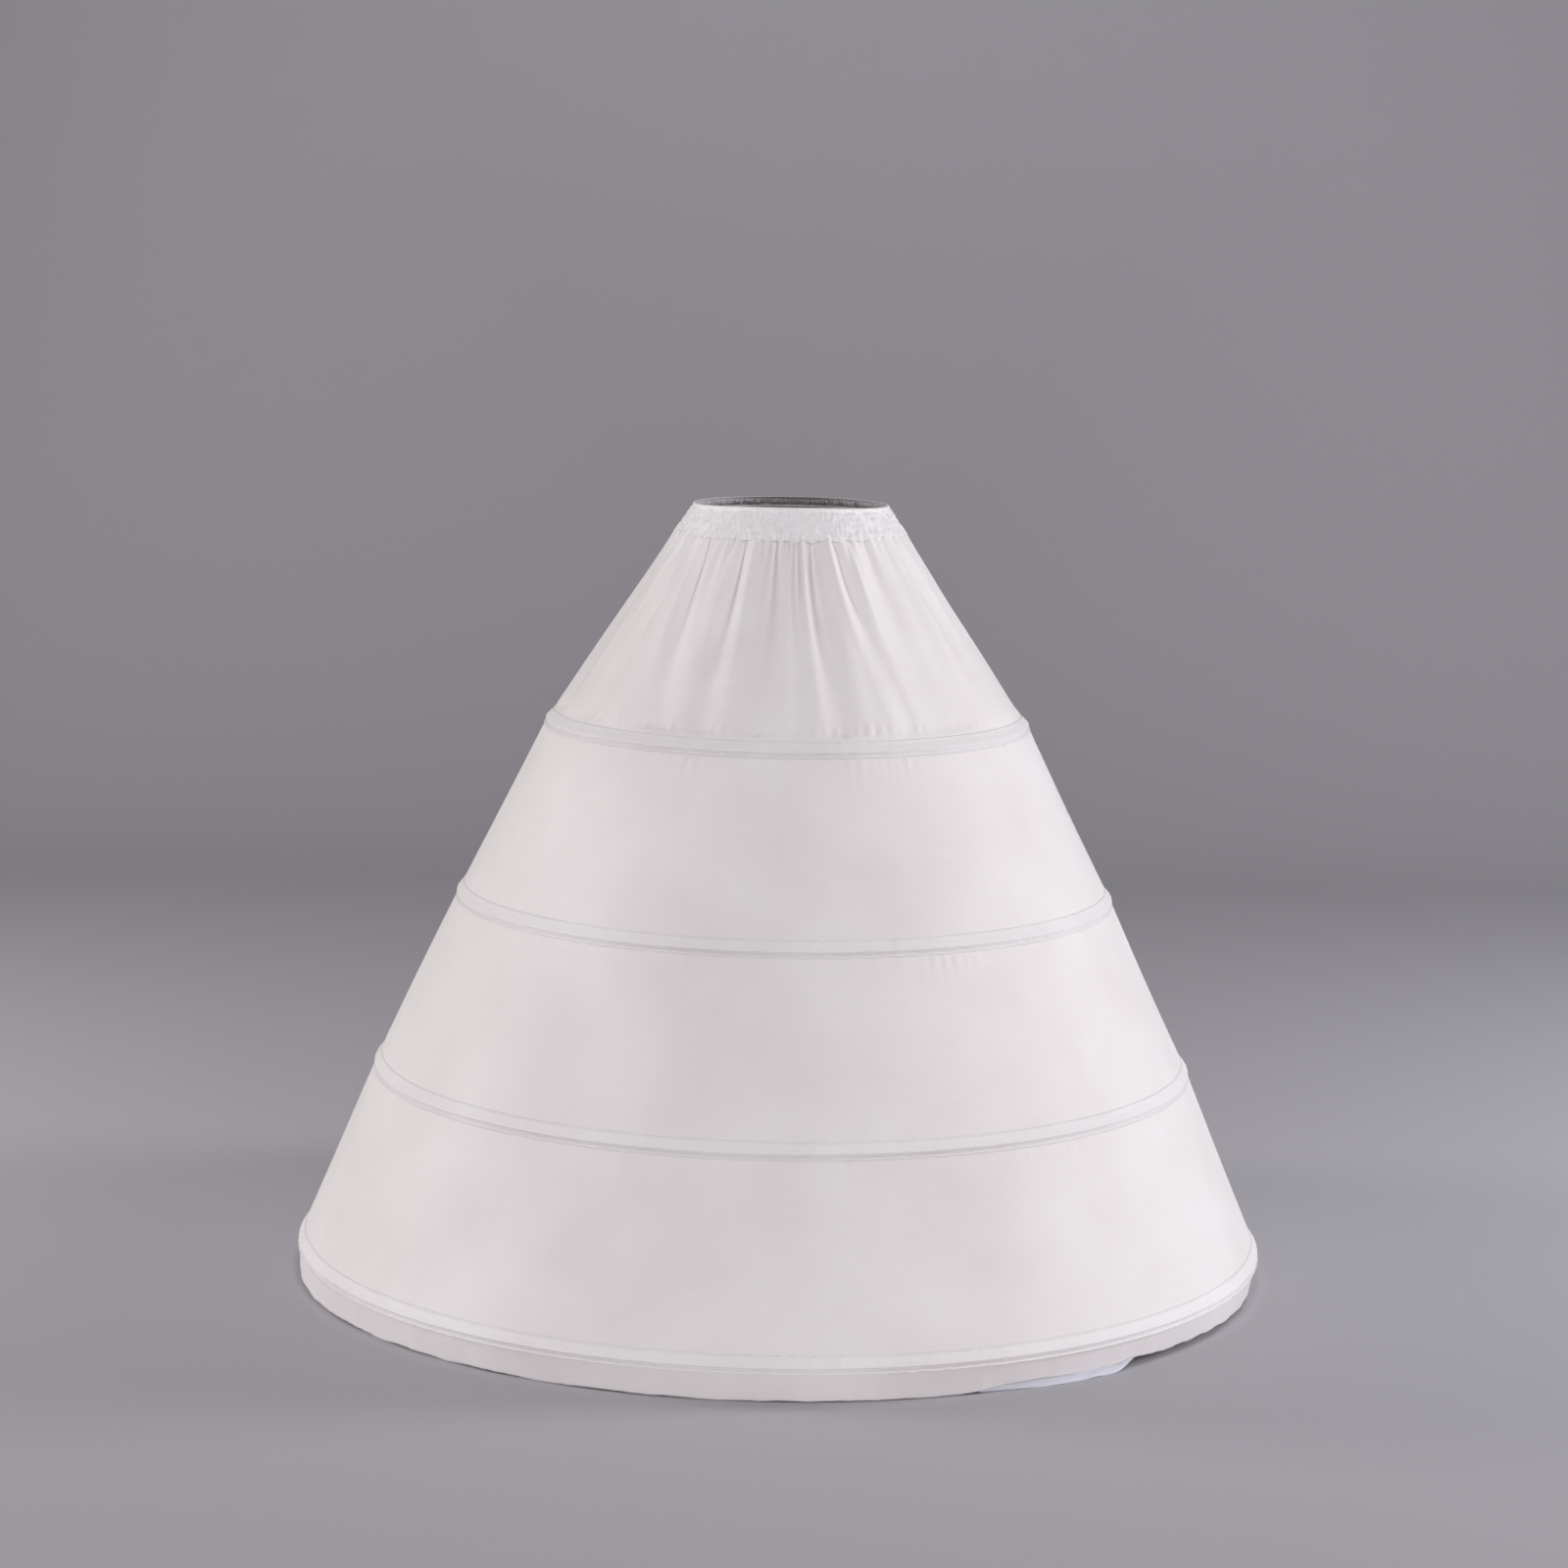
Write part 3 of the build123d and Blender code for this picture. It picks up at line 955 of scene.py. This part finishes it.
# %% Facing end
FACING_START = -67.0
FACING_TOP_END = -44.6
FACING_FOOT_END = -49.6
FACING_TOP = 22 * MM
FACING_KINK = 9.5 * MM
FACING_FLARE = 11.5 * MM
FACING_INSET = 2.6 * MM
FACING_WALL = 0.4 * MM
FACING_CUT = (HEM[0] * math.radians(FACING_TOP_END - FACING_START), FACING_TOP)
FACING_COLUMNS = 90
FACING_ROWS = 16


def facing_end():
    piece, along, fall = cloth_grid("facing_loose_end", FACING_COLUMNS, FACING_ROWS)
    height = FACING_TOP * (1 - fall) + 0.3 * MM
    end = FACING_FOOT_END + (FACING_TOP_END - FACING_FOOT_END) * np.clip(height / FACING_KINK, 0, 1)
    angle = np.radians(FACING_START + (end - FACING_START) * along)
    flare = FACING_FLARE * (0.1 + 0.9 * soft_step(along, 0, 0.6)) * (1 - soft_step(height, 0, FACING_KINK))
    lean = HEM_DRAW_IN * height / HOOP_SEAMS[-1][1]
    radius = HEM[0] - FACING_INSET + lean + flare
    radius += 0.35 * MM * np.cos(37 * along + 3 * fall) * along
    height += 0.5 * MM * np.cos(23 * along) * (1 - soft_step(height, 0, FACING_KINK)) * along
    height = np.maximum(height, 0.2 * MM)
    move_corners(piece, np.stack([radius * np.cos(angle), radius * np.sin(angle), height], axis=1))
    finish_sheet(piece, FACING_WALL, *FACING_CUT)
    return piece


facing = dress(facing_end(), facing_painted_shade, "facing", "hem_facing_end")

# %% [markdown]
# ## Elastic
#
# The elastic inside the band is a plain ring, ribbed lengthwise. Its two radii come from the box of
# its solid and the slope of the band, and its ribs are the same weave with a wider pitch.

# %% Elastic
ELASTIC_COLUMNS = 360
ELASTIC_ROWS = 8
ELASTIC_WALL = 1.1 * MM
ELASTIC_RIBS = 1.1 * MM


def elastic():
    low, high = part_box("waist_elastic")
    slope = slope_of(BAND_TOP, WAIST_SEAM)
    foot = (high.x, low.z)
    head = (high.x - (high.z - low.z) * math.tan(slope), high.z)
    piece, around, share = cloth_grid("waist_elastic_band", ELASTIC_COLUMNS, ELASTIC_ROWS)
    angle = all_round(around)
    out = 0.25 * MM * ripple(angle, 90, seed=601)
    slant = slant_of(head, foot)
    move_corners(piece, from_cloth(angle, share * slant, out, head, foot))
    finish_sheet(piece, ELASTIC_WALL, math.pi * (head[0] + foot[0]), slant)
    return piece


elastic_weave = cloth_finish(
    "woven_elastic", (0.84, 0.84, 0.84), (0.72, 0.72, 0.73), 0.05, 0.9, 0.7, pitch=ELASTIC_RIBS
)
waist_elastic = dress(elastic(), elastic_weave, "elastic", "waist_elastic")

# %% [markdown]
# ## Hoops and sleeves
#
# The hoops and their sleeves keep the shapes of the solid model, and only need a finish: white
# plastic over steel, and crimped plated metal. Fine noise keeps either one from looking like one
# flat colour.

# %% Hard finishes


def hard_finish(name, colour, metal, roughness, coat, grain):
    """Plastic coat or plated metal, with fine noise in its roughness and relief."""
    material = bpy.data.materials.new(name)
    material.use_nodes = True
    tree = material.node_tree
    surface = tree.nodes["Principled BSDF"]
    surface.inputs["Metallic"].default_value = metal
    surface.inputs["Coat Weight"].default_value = coat
    surface.inputs["Coat Roughness"].default_value = 0.2
    place = tree.nodes.new("ShaderNodeTexCoord")
    noise = tree.nodes.new("ShaderNodeTexNoise")
    noise.inputs["Scale"].default_value = grain
    noise.inputs["Detail"].default_value = 4.0
    link(tree, place, "Object", noise, "Vector")
    spread = tree.nodes.new("ShaderNodeMapRange")
    spread.inputs["To Min"].default_value = roughness - 0.08
    spread.inputs["To Max"].default_value = roughness + 0.12
    link(tree, noise, "Fac", spread, "Value")
    link(tree, spread, "Result", surface, "Roughness")
    tone = tree.nodes.new("ShaderNodeMix")
    tone.data_type = "RGBA"
    tone.inputs["A"].default_value = (*[0.88 * c for c in colour], 1)
    tone.inputs["B"].default_value = (*colour, 1)
    link(tree, noise, "Fac", tone, "Factor")
    link(tree, tone, "Result", surface, "Base Color")
    relief = tree.nodes.new("ShaderNodeBump")
    relief.inputs["Strength"].default_value = 0.2
    relief.inputs["Distance"].default_value = 0.1 * MM
    link(tree, noise, "Fac", relief, "Height")
    link(tree, relief, "Normal", surface, "Normal")
    return material


boning = hard_finish("coated_steel_boning", (0.86, 0.86, 0.87), 0.0, 0.4, 0.3, 300)
plated = hard_finish("plated_sleeve_metal", (0.62, 0.62, 0.64), 1.0, 0.34, 0.0, 900)
for number in range(1, len(HOOP_SEAMS) + 1):
    for node, finish in ((f"hoop_{number}", boning), (f"hoop_joiner_{number}", plated)):
        solid = frame["nodes"][node]
        solid.data.materials.clear()
        solid.data.materials.append(finish)

# %% [markdown]
# ## Floor
#
# Studio paper is dead matt, so a plain rough colour is enough, with a little blue in its grey.

# %% Floor finish
floor_paint = bpy.data.materials.new("pale_studio_paper")
floor_paint.use_nodes = True
tree = floor_paint.node_tree
paper = tree.nodes["Principled BSDF"]
paper.inputs["Base Color"].default_value = (0.4, 0.388, 0.42, 1)
paper.inputs["Roughness"].default_value = 0.85
floor.data.materials.append(floor_paint)
